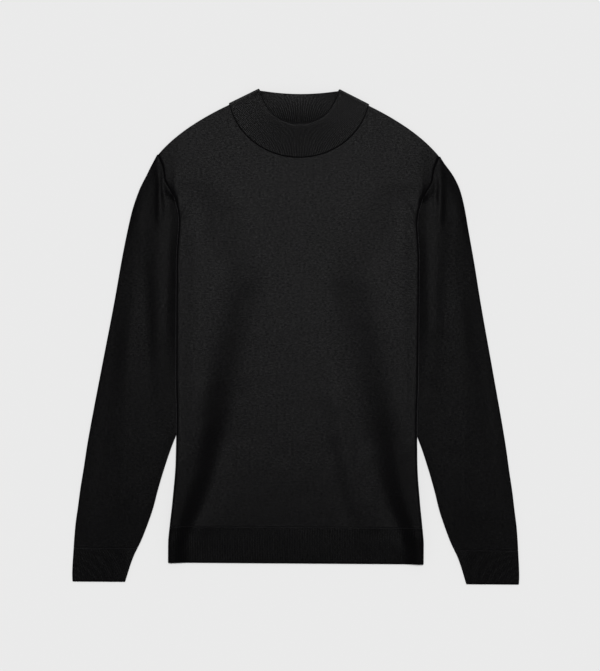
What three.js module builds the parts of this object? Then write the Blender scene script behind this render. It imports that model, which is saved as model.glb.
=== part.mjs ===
// A turtleneck sweater in fine dark jersey, laid on its back on a flat surface.
// Millimetres, Z up. The neck points to +Y and the hem to -Y, and X = 0 is the centre line.
// The sides of the body are folded under, and the sleeves come out from beneath them.
import * as THREE from 'three';

// Cloth and the clearances between pieces.
const CLOTH = 1.6;
const GAP = 0.3;
const LAYER = CLOTH + GAP;
const PAIR_MIDDLE = CLOTH + GAP / 2;

// Rib bands: the spacing and height of one rib, and the wall of the doubled collar.
const RIB_PITCH = 3.0;
const RIB_HEIGHT = 0.5;
const COLLAR_WALL = 3.0;

// Heights up the garment where one piece ends and the next begins.
const HEM_SEAM_Y = -286.3;
const HEM_EDGE_Y = -341;
const CUFF_SEAM_Y = -319.5;
const CUFF_EDGE_Y = -370.5;
const UNDERARM_Y = 50;
const SHOULDER_POINT = { x: 211, y: 271 };
const YOKE_Y = 230;

// The neckline: the front and back seams are parts of ellipses about the centre line.
const NECK_POINT = { x: 104.6, y: 346.9 };
const FRONT_NECK = { centreY: 368.5, wide: 107.1, deep: 100.3 };
const BACK_NECK_DEPTH = 32;
const SHOULDER_BEND = { x: 176.5, y: 312.5 };

// The body at one side. fold: where the flat front ends and turns under. turn: how far it turns, in
// degrees. tuck: the cloth that runs on past the turn.
const BODY = [
  { y: 271, fold: 184.3, turn: 1, tuck: 20.7 },
  { y: 250, fold: 181.3, turn: 6, tuck: 15.4 },
  { y: 235, fold: 180.3, turn: 12, tuck: 13.5 },
  { y: 224, fold: 179.6, turn: 22, tuck: 10.5 },
  { y: 212, fold: 179.0, turn: 45, tuck: 5.2 },
  { y: 200, fold: 178.5, turn: 95, tuck: 2.5 },
  { y: 186, fold: 176.2, turn: 150, tuck: 2.5 },
  { y: 168, fold: 174.2, turn: 180, tuck: 5 },
  { y: 140, fold: 177.2, turn: 180, tuck: 16 },
  { y: 113, fold: 178.6, turn: 180, tuck: 32 },
  { y: 80, fold: 178.6, turn: 180, tuck: 50 },
  { y: 50, fold: 178.5, turn: 180, tuck: 61 },
  { y: -22, fold: 178.3, turn: 180, tuck: 56 },
  { y: -67, fold: 178.0, turn: 180, tuck: 47 },
  { y: -126, fold: 176.6, turn: 180, tuck: 33 },
  { y: -187, fold: 177.3, turn: 180, tuck: 19 },
  { y: -247, fold: 181.7, turn: 180, tuck: 12 },
  { y: -286, fold: 185.8, turn: 180, tuck: 7 },
  { y: -312, fold: 187.9, turn: 180, tuck: 5 },
  { y: -341, fold: 188.0, turn: 180, tuck: 4 },
];

// The sleeve from the shoulder to the wrist: its outer fold and its underarm edge, from the centre line.
const SLEEVE = [
  { y: 271, outer: 213.3, inner: 118 },
  { y: 260, outer: 219.2, inner: 118 },
  { y: 240, outer: 230.8, inner: 118 },
  { y: 220, outer: 240.5, inner: 118 },
  { y: 190, outer: 249.5, inner: 118 },
  { y: 160, outer: 255.7, inner: 118 },
  { y: 115, outer: 264.2, inner: 118 },
  { y: 50, outer: 275.2, inner: 118 },
  { y: -50, outer: 293.7, inner: 150 },
  { y: -140, outer: 310.2, inner: 178.9 },
  { y: -170, outer: 315.2, inner: 190.2 },
  { y: -200, outer: 319.5, inner: 200.0 },
  { y: -230, outer: 324.2, inner: 208.7 },
  { y: -260, outer: 328, inner: 216.4 },
  { y: -285, outer: 331.3, inner: 224.9 },
  { y: -312, outer: 333.4, inner: 235.5 },
  { y: -330, outer: 334.4, inner: 244.3 },
  { y: -345, outer: 335.3, inner: 249.8 },
  { y: -360, outer: 335.7, inner: 254.4 },
  { y: -370.5, outer: 335.2, inner: 257.6 },
];

// One shoulder cap lies a little fuller than the other.
const CAP_LEAN = { high: 2.9, y: 238, spread: 48 };

// Soft creases of the front, each from one end to the other. A negative height is a trough.
const BODY_CREASES = [
  { x0: -150, y0: 150, x1: -148, y1: -90, wide: 20, high: 1.3 },
  { x0: 152, y0: 150, x1: 160, y1: -130, wide: 20, high: 1.4 },
  { x0: -92, y0: 190, x1: -93, y1: 20, wide: 16, high: -1.0 },
  { x0: 106, y0: 90, x1: 124, y1: -60, wide: 17, high: -1.0 },
  { x0: 60, y0: -92, x1: 100, y1: -265, wide: 13, high: 2.3 },
  { x0: 48, y0: -165, x1: 70, y1: -255, wide: 12, high: -0.9 },
  { x0: 112, y0: -150, x1: 122, y1: -262, wide: 11, high: -0.9 },
  { x0: -166, y0: 200, x1: -170, y1: 172, wide: 7, high: 1.2 },
  { x0: 167, y0: 198, x1: 171, y1: 174, wide: 7, high: 1.1 },
  { x0: -40, y0: 236, x1: -60, y1: 120, wide: 30, high: 0.6 },
  { x0: 44, y0: 240, x1: 70, y1: 130, wide: 28, high: 0.6 },
];
const BODY_LOFT = 1.0;
const BODY_LOFT_EDGE = { side: 30, hem: 45, top: 34 };
const CREASE_FADE = 1.6;

// The same for the sleeves: side is -1 for the wearer's right and 1 for the left.
const SLEEVE_CREASES = [
  { side: -1, x0: 208, y0: 250, x1: 207, y1: 120, wide: 12, high: 1.6 },
  { side: -1, x0: 227, y0: 60, x1: 218, y1: -85, wide: 11, high: -1.2 },
  { side: -1, x0: 254, y0: 60, x1: 257, y1: -215, wide: 15, high: 1.6 },
  { side: -1, x0: 281, y0: 0, x1: 296, y1: -220, wide: 12, high: -1.0 },
  { side: 1, x0: 209, y0: 245, x1: 212, y1: 170, wide: 10, high: 1.5 },
  { side: 1, x0: 218, y0: 60, x1: 213, y1: -85, wide: 11, high: -1.2 },
  { side: 1, x0: 246, y0: -20, x1: 252, y1: -220, wide: 15, high: 1.7 },
  { side: 1, x0: 276, y0: -5, x1: 294, y1: -180, wide: 13, high: -1.0 },
];
const SLEEVE_LOFT = 1.7;
const SLEEVE_LOFT_EDGE = { body: 6, bodyFade: 26, cap: 14, cuff: 40, inner: 0.16, outer: 0.2 };

// How far the front slopes down where the layers below it end.
const SLEEVE_SLOPE = 30;
const SLEEVE_MARGIN = 13;
const TUCK_SLOPE = 24;
const PROP = { from: 218, full: 202 };

// The collar: its ring runs across the front, round the side fold and back along the underside.
const COLLAR_SEAM = { wide: 105.6, deep: 99.4, length: 296, clear: 0.45 };
const COLLAR_SIDE = { seamX: 102.9, seamY: 346.2, rimX: 58.6, rimY: 368.5 };
const COLLAR_RIM_FRONT = [
  { x: 0, y: 319.6 },
  { x: 11.5, y: 319.9 },
  { x: 23, y: 323.7 },
  { x: 34.5, y: 329.6 },
  { x: 45.7, y: 341.6 },
  { x: 53.2, y: 354.4 },
  { x: 58.6, y: 368.5 },
];
const COLLAR_RIM_BACK_DIP = 5.5;

// Height of the collar's front layer at its middle surface: at the side folds, and how much higher
// the rim and lower the seam lie at the centre. The rim is rounded over the last of its depth.
const COLLAR_HEIGHT = { side: 4.8, rimRise: 4.2, seamSink: 1.4, roundFrom: 0.975 };

// How finely each piece is divided.
const NECK_LANES = 7;
const SHOULDER_LANES = 6;
const TURN_LANES = 3;
const TUCK_LANES = 3;
const YOKE_ROWS = 3;
const SLEEVE_ROWS = 17;
const SLEEVE_CROWDING = 1.15;
const SLEEVE_SEAM_ROWS = [50, 113, 168, 200, 212];
const BODY_ROWS = [212, 200, 186, 168, 140, 113, 80, 50, 15, -22, -67, -105, -145, -187, -225, -258];
const HEM_ROWS = [HEM_SEAM_Y - GAP, -314, HEM_EDGE_Y];
const HEM_PLAIN_LANES = 7;
const CUFF_ROWS = [CUFF_SEAM_Y - GAP, -333, -350, CUFF_EDGE_Y];
const CUFF_PLAIN_LANES = { front: 5, back: 3 };
const FOLD_TURNS = [60, 120];
const SEAM_TURN = 65;
const COLLAR_LANES = { innerFront: 30, back: 22, turns: [45, 90, 135] };

const smooth = (part) => {
  const held = Math.min(1, Math.max(0, part));
  return held * held * (3 - 2 * held);
};

const mixed = (from, to, share) => from + (to - from) * share;

// Reads a column of a table between its rows, along a curve that stays between them.
function read(table, column, place, key = 'y') {
  const last = table.length - 1;
  const sign = Math.sign(table[last][key] - table[0][key]);
  const at = sign * place;
  const keyAt = (row) => sign * table[row][key];
  if (at <= keyAt(0)) return table[0][column];
  if (at >= keyAt(last)) return table[last][column];
  let row = 0;
  while (keyAt(row + 1) < at) row += 1;
  const rise = (k) => (table[k + 1][column] - table[k][column]) / (keyAt(k + 1) - keyAt(k));
  const slope = (k) => {
    if (k === 0) return rise(0);
    if (k === last) return rise(last - 1);
    const before = rise(k - 1);
    const after = rise(k);
    return before * after <= 0 ? 0 : (2 * before * after) / (before + after);
  };
  const span = keyAt(row + 1) - keyAt(row);
  const t = (at - keyAt(row)) / span;
  return mixed(table[row][column], table[row + 1][column], smooth(t))
    + span * t * (1 - t) * (slope(row) * (1 - t) - slope(row + 1) * t);
}

// The height of a set of soft creases over a place, each fading out at its two ends.
function creaseHeight(creases, x, y) {
  let height = 0;
  for (const crease of creases) {
    const runX = crease.x1 - crease.x0;
    const runY = crease.y1 - crease.y0;
    const length = Math.hypot(runX, runY);
    const along = ((x - crease.x0) * runX + (y - crease.y0) * runY) / length;
    const off = ((x - crease.x0) * runY - (y - crease.y0) * runX) / length;
    const beyond = Math.max(0, -along, along - length);
    const fade = beyond / (CREASE_FADE * crease.wide);
    height += crease.high * Math.exp(-((off / crease.wide) ** 2) - fade ** 2);
  }
  return height;
}

// The body's side at one height: where it folds, how it turns and what lies below it.
function bodySide(y) {
  const fold = read(BODY, 'fold', y);
  const turn = THREE.MathUtils.degToRad(read(BODY, 'turn', y));
  const tuck = read(BODY, 'tuck', y);
  const radius = (Math.PI * LAYER) / turn;
  const drop = radius * (1 - Math.cos(turn)) + tuck * Math.sin(turn);
  return {
    fold,
    turn,
    tuck,
    radius,
    drop,
    tuckEnd: fold - tuck * Math.max(0, -Math.cos(turn)),
    prop: smooth((PROP.from - y) / (PROP.from - PROP.full)),
    endX: fold + radius * Math.sin(turn) + tuck * Math.cos(turn),
  };
}

// The underarm edge of the sleeve beneath the body: the armhole above the underarm, the seam below.
const sleeveEdgeX = (y) => (y > UNDERARM_Y ? bodySide(y).endX : read(SLEEVE, 'inner', y));

function sleeveBelow(side, x, y) {
  return 2 * LAYER * side.prop * smooth(1 + (x + SLEEVE_MARGIN - sleeveEdgeX(y)) / SLEEVE_SLOPE);
}

// A place on the surface midway between the front and the back of the body, and the way it faces.
// lane.part is 'main' across the front, 'turn' round the fold or 'tuck' past it, lane.share how far.
function bodyPlace(lane, y) {
  const side = bodySide(y);
  const mainHeight = (x) => PAIR_MIDDLE + sleeveBelow(side, x, y)
    + side.drop * smooth(1 + (x - side.tuckEnd) / TUCK_SLOPE);
  if (lane.part === 'main') {
    const x = side.fold * lane.share;
    return { x, z: mainHeight(x), faceX: 0, faceZ: 1, flat: x };
  }
  const angle = lane.part === 'turn' ? side.turn * lane.share : side.turn;
  const past = lane.part === 'tuck' ? side.tuck * lane.share : 0;
  const x = side.fold + side.radius * Math.sin(angle) + past * Math.cos(angle);
  const fall = side.radius * (1 - Math.cos(angle)) + past * Math.sin(angle);
  const settle = sleeveBelow(side, Math.min(x, side.fold), y) - sleeveBelow(side, side.fold, y);
  return {
    x,
    z: mainHeight(side.fold) - fall + settle,
    faceX: Math.sin(angle),
    faceZ: Math.cos(angle),
    flat: side.fold + side.radius * angle + past,
  };
}

// The shoulder line, and the neck seams of the two panels, as heights over a place across.
function shoulderY(x) {
  const bendX = NECK_POINT.x - 2 * SHOULDER_BEND.x + SHOULDER_POINT.x;
  const startX = 2 * (SHOULDER_BEND.x - NECK_POINT.x);
  const share = (-startX + Math.sqrt(startX ** 2 + 4 * bendX * (x - NECK_POINT.x))) / (2 * bendX);
  const rest = 1 - share;
  return rest * rest * NECK_POINT.y + 2 * share * rest * SHOULDER_BEND.y + share * share * SHOULDER_POINT.y;
}

const frontNeckY = (x) => FRONT_NECK.centreY
  - FRONT_NECK.deep * Math.sqrt(1 - (x / FRONT_NECK.wide) ** 2);

const backNeckY = (x) => NECK_POINT.y
  - BACK_NECK_DEPTH * Math.sqrt(1 - Math.min(1, x / NECK_POINT.x) ** 2);

// The lanes of the body from the centre line out to one side.
function bodyLanes() {
  const lanes = [];
  const top = BODY[0].fold;
  const neckAngle = Math.asin(NECK_POINT.x / FRONT_NECK.wide);
  for (let step = 0; step <= NECK_LANES; step += 1) {
    const x = FRONT_NECK.wide * Math.sin((neckAngle * step) / NECK_LANES);
    lanes.push({ part: 'main', share: x / top });
  }
  for (let step = 1; step <= SHOULDER_LANES; step += 1) {
    const x = NECK_POINT.x + ((top - NECK_POINT.x) * step) / SHOULDER_LANES;
    lanes.push({ part: 'main', share: x / top });
  }
  for (let step = 1; step <= TURN_LANES; step += 1) lanes.push({ part: 'turn', share: step / TURN_LANES });
  for (let step = 1; step <= TUCK_LANES; step += 1) lanes.push({ part: 'tuck', share: step / TUCK_LANES });
  return lanes;
}

// Rows of the body, from the shoulder down. reach is 1 at the shoulder and neck and 0 at the yoke line.
function bodyRows() {
  const rows = [];
  for (let step = YOKE_ROWS; step >= 0; step -= 1) {
    const reach = step / YOKE_ROWS;
    rows.push({ y: YOKE_Y + (SHOULDER_POINT.y - YOKE_Y) * reach, reach });
  }
  return rows.concat(BODY_ROWS.concat(HEM_SEAM_Y).map((y) => ({ y, reach: 0 })));
}

// The front of the cloth lies loose over the back, and close to it at every seam and fold.
function bodyLoft(x, y, side, belowTop) {
  const atSide = smooth((side.fold - Math.abs(x)) / BODY_LOFT_EDGE.side);
  const atHem = smooth((y - HEM_SEAM_Y) / BODY_LOFT_EDGE.hem);
  const atTop = smooth(belowTop / BODY_LOFT_EDGE.top);
  return Math.max(0, BODY_LOFT + creaseHeight(BODY_CREASES, x, y)) * atSide * atHem * atTop;
}

function bodyPoint(hand, lane, row, neckY, out, loose) {
  const place = bodyPlace(lane, row.y);
  const top = bodyPlace(lane, SHOULDER_POINT.y);
  const topY = top.flat < NECK_POINT.x ? neckY(top.flat) : shoulderY(top.flat);
  const y = row.reach > 0 ? YOKE_Y + (topY - YOKE_Y) * row.reach : row.y;
  const x = hand * place.x;
  const loft = loose && lane.part === 'main' ? bodyLoft(x, y, bodySide(row.y), topY - y) : 0;
  return [x + hand * place.faceX * out, y, place.z + place.faceZ * out + loft];
}

// How far along a line each of its points lies, from 0 to 1. A closed line comes back to its start.
function pathShares(points, closed) {
  const line = closed ? points.concat([points[0]]) : points;
  const run = [0];
  for (let k = 1; k < line.length; k += 1) {
    const [from, to] = [line[k - 1], line[k]];
    run.push(run[k - 1] + Math.hypot(to[0] - from[0], to[1] - from[1], to[2] - from[2]));
  }
  return run.map((value) => value / run[run.length - 1]);
}

const evenShares = (count) => Array.from({ length: count + 1 }, (_, step) => step / count);

// Joins two edges that run side by side but may be divided differently, nearest shares first.
function bridge(triangles, first, second, closed) {
  const firstEnd = closed ? first.line.length : first.line.length - 1;
  const secondEnd = closed ? second.line.length : second.line.length - 1;
  const point = (edge, k) => edge.line[k % edge.line.length];
  let a = 0;
  let b = 0;
  while (a < firstEnd || b < secondEnd) {
    const nextA = a < firstEnd ? first.shares[a + 1] : Infinity;
    const nextB = b < secondEnd ? second.shares[b + 1] : Infinity;
    if (nextA <= nextB) {
      triangles.push([point(first, a), point(second, b), point(first, a + 1)]);
      a += 1;
    } else {
      triangles.push([point(first, a), point(second, b), point(second, b + 1)]);
      b += 1;
    }
  }
}

// A wall of cloth from rows of outer points and rows of inner points. A closed wall runs right round.
function clothMesh(name, outer, inner, colour, closed, shares) {
  const points = [];
  const triangles = [];
  const even = (row) => evenShares(closed ? row.length : row.length - 1);
  const lay = (rows, rowShares) => rows.map((row) => ({
    line: row.map((point) => points.push(point) - 1),
    shares: rowShares ?? even(row),
  }));
  const outerLines = lay(outer, shares?.outer);
  const innerLines = lay(inner, shares?.inner);
  for (let k = 1; k < outerLines.length; k += 1) bridge(triangles, outerLines[k - 1], outerLines[k], closed);
  const within = [];
  for (let k = 1; k < innerLines.length; k += 1) bridge(within, innerLines[k - 1], innerLines[k], closed);
  for (const [a, b, c] of within) triangles.push([a, c, b]);
  bridge(triangles, innerLines[0], outerLines[0], closed);
  bridge(triangles, outerLines[outerLines.length - 1], innerLines[innerLines.length - 1], closed);
  if (!closed) {
    const edge = (lines, end) => ({
      line: lines.map(({ line }) => line[end * (line.length - 1)]),
      shares: evenShares(lines.length - 1),
    });
    bridge(triangles, edge(outerLines, 0), edge(innerLines, 0), false);
    bridge(triangles, edge(innerLines, 1), edge(outerLines, 1), false);
  }
  let volume = 0;
  for (const [a, b, c] of triangles) {
    const [p, q, r] = [points[a], points[b], points[c]];
    volume += p[0] * (q[1] * r[2] - q[2] * r[1])
      + p[1] * (q[2] * r[0] - q[0] * r[2])
      + p[2] * (q[0] * r[1] - q[1] * r[0]);
  }
  const facing = volume < 0 ? triangles.map(([a, b, c]) => [a, c, b]) : triangles;
  const geometry = new THREE.BufferGeometry();
  geometry.setAttribute('position', new THREE.Float32BufferAttribute(points.flat(), 3));
  geometry.setIndex(facing.flat());
  geometry.computeVertexNormals();
  const material = new THREE.MeshStandardMaterial({ color: colour, roughness: 0.94, metalness: 0 });
  const mesh = new THREE.Mesh(geometry, material);
  mesh.name = name;
  return mesh;
}

// Both halves of a lane list, from the wearer's right round to the wearer's left.
function acrossBothHands(lanes) {
  const right = lanes.slice(1).reverse().map((lane) => ({ hand: -1, lane }));
  return right.concat(lanes.map((lane) => ({ hand: 1, lane })));
}

function bodyPanel(name, colour, neckY, outerOut, innerOut, loose) {
  const lanes = acrossBothHands(bodyLanes());
  const rows = bodyRows();
  const surface = (out) => rows.map((row) => lanes.map(({ hand, lane }) => (
    bodyPoint(hand, lane, row, neckY, out, loose))));
  return clothMesh(name, surface(outerOut), surface(innerOut), colour, false);
}

// A hem band follows the body on down. The ribs stand on its upper face only and it lies flat below.
function hemBand(name, colour, outerOut, innerOut, ribbed) {
  const lanes = bodyLanes().filter(({ part }) => part !== 'main');
  const ribs = Math.round(read(BODY, 'fold', HEM_EDGE_Y) / RIB_PITCH);
  const plain = [];
  const fine = [];
  for (const share of evenShares(HEM_PLAIN_LANES)) plain.push({ part: 'main', share });
  for (let step = 0; step <= 2 * ribs; step += 1) {
    fine.push({ part: 'main', share: step / (2 * ribs), crest: step % 2 });
  }
  const outerLanes = acrossBothHands((ribbed ? fine : plain).concat(lanes));
  const innerLanes = acrossBothHands(plain.concat(lanes));
  const rowOf = (list, out) => (y) => list.map(({ hand, lane }) => {
    const shaped = out + (lane.crest ?? 0) * RIB_HEIGHT;
    const place = bodyPlace(lane, y);
    return [hand * (place.x + place.faceX * shaped), y, place.z + place.faceZ * shaped];
  });
  const shareOf = (list) => pathShares(list.map(({ hand, lane }) => (
    [hand * bodyPlace(lane, HEM_EDGE_Y).flat, 0, 0])), false);
  const outer = HEM_ROWS.map(rowOf(outerLanes, outerOut));
  const inner = HEM_ROWS.map(rowOf(innerLanes, innerOut));
  const shares = { outer: shareOf(outerLanes), inner: shareOf(innerLanes) };
  return clothMesh(name, outer, inner, colour, false, shares);
}

// A sleeve is one piece from its underarm seam over the front, round the outer fold and back beneath.
const capLean = (y) => CAP_LEAN.high * Math.exp(-(((y - CAP_LEAN.y) / CAP_LEAN.spread) ** 2));

// Stations along the armhole from the underarm to the shoulder point, just clear of the body.
function armholeStations() {
  const yoke = bodyRows().slice(0, YOKE_ROWS + 1).map(({ y }) => y);
  const heights = SLEEVE_SEAM_ROWS.concat(yoke.reverse());
  return heights.map((y) => {
    const side = bodySide(y);
    const clear = y > PROP.full + 4 ? PAIR_MIDDLE * Math.sin(side.turn) + GAP : GAP;
    return { x: side.endX + clear, y };
  });
}

const ARMHOLE = armholeStations();

function sleeveEdge(column, fromY, along) {
  const y = mixed(fromY, CUFF_SEAM_Y, along);
  return { x: read(SLEEVE, column, y) - (column === 'outer' ? PAIR_MIDDLE : 0), y };
}

// A place across and along the sleeve: between its two edges, and following the armhole at the top.
function sleevePlace(station, along) {
  const last = ARMHOLE.length - 1;
  const share = station / last;
  const inner = sleeveEdge('inner', UNDERARM_Y, along);
  const outer = sleeveEdge('outer', SHOULDER_POINT.y, along);
  const between = (key) => mixed(inner[key], outer[key], share)
    + (1 - along) * (ARMHOLE[station][key] - mixed(ARMHOLE[0][key], ARMHOLE[last][key], share));
  return { x: between('x'), y: between('y'), share, lean: share * smooth(along / 0.06) };
}

// Places round the sleeve: over the front, round the outer fold, beneath, and the two seam edges.
function sleeveRing(frontStations, backStations) {
  const ring = [];
  ring.push({ at: 0, turn: -SEAM_TURN });
  for (const at of frontStations) ring.push({ at, turn: 0 });
  const last = frontStations[frontStations.length - 1];
  for (const turn of FOLD_TURNS) ring.push({ at: last, turn });
  for (const at of backStations) ring.push({ at, turn: 180 });
  ring.push({ at: 0, turn: SEAM_TURN - 180 });
  return ring;
}

function sleeveLoft(hand, { x, y, share }) {
  const side = bodySide(y);
  const beside = smooth((x - side.fold - SLEEVE_LOFT_EDGE.body) / SLEEVE_LOFT_EDGE.bodyFade);
  const inside = smooth(share / SLEEVE_LOFT_EDGE.inner) * smooth((1 - share) / SLEEVE_LOFT_EDGE.outer);
  const fromCuff = smooth((y - CUFF_SEAM_Y) / SLEEVE_LOFT_EDGE.cuff);
  const fromCap = y > PROP.full ? smooth((x - side.endX) / SLEEVE_LOFT_EDGE.cap) : 1;
  const creases = SLEEVE_CREASES.filter((crease) => crease.side === hand);
  return Math.max(0, SLEEVE_LOFT + creaseHeight(creases, x, y)) * beside * inside * fromCuff * fromCap;
}

// Moves out from the middle of the flattened tube. turn runs from 0 on top to 180 beneath.
function sleevePoint(hand, place, spot, out, normal) {
  const angle = THREE.MathUtils.degToRad(spot.turn);
  const radius = LAYER / 2 + out;
  const outward = spot.turn === 0 || spot.turn === 180 ? 0 : Math.sin(angle) * radius;
  const loft = spot.turn === 0 ? sleeveLoft(hand, place) : 0;
  const height = PAIR_MIDDLE + Math.cos(angle) * radius + loft;
  const x = place.x + outward * normal.x;
  return [hand * x + capLean(place.y) * place.lean, place.y + outward * normal.y, height];
}

function edgeNormal(column, y) {
  const step = 2;
  const run = (read(SLEEVE, column, y + step) - read(SLEEVE, column, y - step)) / (2 * step);
  const length = Math.hypot(1, run);
  return { x: 1 / length, y: -run / length };
}

function sleeve(name, hand, colour) {
  const stations = ARMHOLE.map((_, station) => station);
  const ring = sleeveRing(stations, stations.slice().reverse());
  const surface = (out) => {
    const rows = [];
    for (const step of evenShares(SLEEVE_ROWS)) {
      const along = step ** SLEEVE_CROWDING;
      rows.push(ring.map((spot) => {
        const place = sleevePlace(spot.at, along);
        const normal = edgeNormal(spot.at === 0 ? 'inner' : 'outer', place.y);
        normal.y *= smooth((place.y - CUFF_SEAM_Y) / 20);
        return sleevePoint(hand, place, spot, out, normal);
      }));
    }
    return rows;
  };
  return clothMesh(name, surface(CLOTH / 2), surface(-CLOTH / 2), colour, false);
}

// A cuff follows the sleeve on down to the wrist, ribbed on its upper face.
function cuff(name, hand, colour) {
  const width = read(SLEEVE, 'outer', CUFF_SEAM_Y) - read(SLEEVE, 'inner', CUFF_SEAM_Y);
  const ribs = Math.round(width / RIB_PITCH);
  const beneath = evenShares(CUFF_PLAIN_LANES.back).reverse();
  const plainSpots = sleeveRing(evenShares(CUFF_PLAIN_LANES.front), beneath);
  const ribSpots = sleeveRing(evenShares(2 * ribs), beneath);
  ribSpots.forEach((spot, k) => {
    spot.crest = spot.turn === 0 && k % 2 === 0 ? 1 : 0;
  });
  const rowOf = (ring, out) => (y) => ring.map((spot) => {
    const inner = read(SLEEVE, 'inner', y);
    const outer = read(SLEEVE, 'outer', y) - PAIR_MIDDLE;
    const place = { x: inner + (outer - inner) * spot.at, y, share: 0, lean: 0 };
    const crest = (spot.crest ?? 0) * RIB_HEIGHT;
    return sleevePoint(hand, place, spot, out + crest, { x: 1, y: 0 });
  });
  const shareOf = (ring) => {
    const smoothRing = ring.map(({ at, turn }) => ({ at, turn }));
    return pathShares(rowOf(smoothRing, 0)(CUFF_EDGE_Y), false);
  };
  const outer = CUFF_ROWS.map(rowOf(ribSpots, CLOTH / 2));
  const inner = CUFF_ROWS.map(rowOf(plainSpots, -CLOTH / 2));
  const shares = { outer: shareOf(ribSpots), inner: shareOf(plainSpots) };
  return clothMesh(name, outer, inner, colour, false, shares);
}

// The back neck seam as the panel's own lanes draw it, and the collar's edge just clear of it.
function backSeamY(x) {
  const seam = bodyLanes().slice(0, NECK_LANES + 1).map(({ share }) => share * BODY[0].fold);
  let lane = 0;
  while (lane < NECK_LANES - 1 && seam[lane + 1] < x) lane += 1;
  const mix = (x - seam[lane]) / (seam[lane + 1] - seam[lane]);
  return mixed(backNeckY(seam[lane]), backNeckY(seam[lane + 1]), mix) + COLLAR_SEAM.clear;
}

// A place on the collar's middle surface. across runs from -1 to 1 and rise from the seam to the rim.
function collarPlan(across, rise, front) {
  const size = Math.abs(across);
  const seamAngle = Math.asin(COLLAR_SIDE.seamX / COLLAR_SEAM.wide) * size;
  const seamX = COLLAR_SEAM.wide * Math.sin(seamAngle);
  const rimX = COLLAR_SIDE.rimX * (seamX / COLLAR_SIDE.seamX);
  const x = Math.sign(across) * mixed(seamX, rimX, rise);
  if (front) {
    const seamY = FRONT_NECK.centreY - COLLAR_SEAM.deep * Math.cos(seamAngle);
    return { x, y: mixed(seamY, read(COLLAR_RIM_FRONT, 'y', rimX, 'x'), rise) };
  }
  const seamY = size === 1 ? COLLAR_SIDE.seamY : backSeamY(seamX);
  const rimY = COLLAR_SIDE.rimY - COLLAR_RIM_BACK_DIP * (1 - (rimX / COLLAR_SIDE.rimX) ** 2);
  return { x, y: mixed(seamY, rimY, rise) };
}

function collarPoint(spot, rise, out) {
  const plan = collarPlan(spot.across, rise, spot.front);
  const open = 1 - spot.across ** 2;
  const top = COLLAR_HEIGHT.side + open * mixed(-COLLAR_HEIGHT.seamSink, COLLAR_HEIGHT.rimRise, rise);
  const below = COLLAR_WALL / 2;
  if (spot.turn === undefined) {
    return [plan.x, plan.y, spot.front ? top + out : below - out];
  }
  const angle = THREE.MathUtils.degToRad(spot.turn);
  const radius = (COLLAR_HEIGHT.side - below) / 2;
  const runX = COLLAR_SIDE.rimX - COLLAR_SIDE.seamX;
  const runY = COLLAR_SIDE.rimY - COLLAR_SIDE.seamY;
  const length = Math.hypot(runX, runY);
  const outward = Math.sin(angle) * (radius + out);
  return [
    plan.x + Math.sign(spot.across) * outward * (runY / length),
    plan.y + outward * (-runX / length),
    below + radius + Math.cos(angle) * (radius + out),
  ];
}

function collarRing(frontSteps, backSteps, ribbed) {
  const ring = [];
  const { turns } = COLLAR_LANES;
  for (let step = 0; step <= frontSteps; step += 1) {
    ring.push({ across: -1 + (2 * step) / frontSteps, front: true, crest: ribbed ? step % 2 : 0 });
  }
  for (const turn of turns) ring.push({ across: 1, turn, front: true, crest: 0 });
  for (let step = 0; step <= backSteps; step += 1) {
    ring.push({ across: 1 - (2 * step) / backSteps, front: false, crest: 0 });
  }
  for (const turn of turns.slice().reverse()) ring.push({ across: -1, turn, front: true, crest: 0 });
  return ring;
}

function collar(colour) {
  const ribs = Math.round(COLLAR_SEAM.length / RIB_PITCH);
  const outerRing = collarRing(2 * ribs, COLLAR_LANES.back, true);
  const innerRing = collarRing(COLLAR_LANES.innerFront, COLLAR_LANES.back, false);
  const half = COLLAR_WALL / 2;
  const { roundFrom } = COLLAR_HEIGHT;
  const row = (ring, rise, out, crestHeight) => ring.map((spot) => (
    collarPoint(spot, rise, out + (spot.crest ? crestHeight : 0))));
  const outer = [0, 0.5, roundFrom].map((rise) => row(outerRing, rise, half, RIB_HEIGHT));
  const inner = [0, 0.5, roundFrom].map((rise) => row(innerRing, rise, -half, 0));
  inner.push(row(innerRing, 1, 0, 0));
  const shareOf = (ring) => pathShares(ring.map((spot) => collarPoint(spot, 0.5, 0)), true);
  const shares = { outer: shareOf(outerRing), inner: shareOf(innerRing) };
  return clothMesh('collar', outer, inner, colour, true, shares);
}

const garment = new THREE.Group();
garment.name = 'turtleneck_sweater';
const near = GAP / 2;
const far = PAIR_MIDDLE;
garment.add(
  bodyPanel('front_panel', '#1f1e20', frontNeckY, far, near, true),
  bodyPanel('back_panel', '#1b1a1c', backNeckY, -near, -far, false),
  hemBand('hem_front', '#19181a', far, near, true),
  hemBand('hem_back', '#171618', -near, -far, false),
  sleeve('sleeve_right', -1, '#1b1a1c'),
  sleeve('sleeve_left', 1, '#1b1a1c'),
  cuff('cuff_right', -1, '#161517'),
  cuff('cuff_left', 1, '#161517'),
  collar('#1d1c1e'),
);

export default garment;
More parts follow.
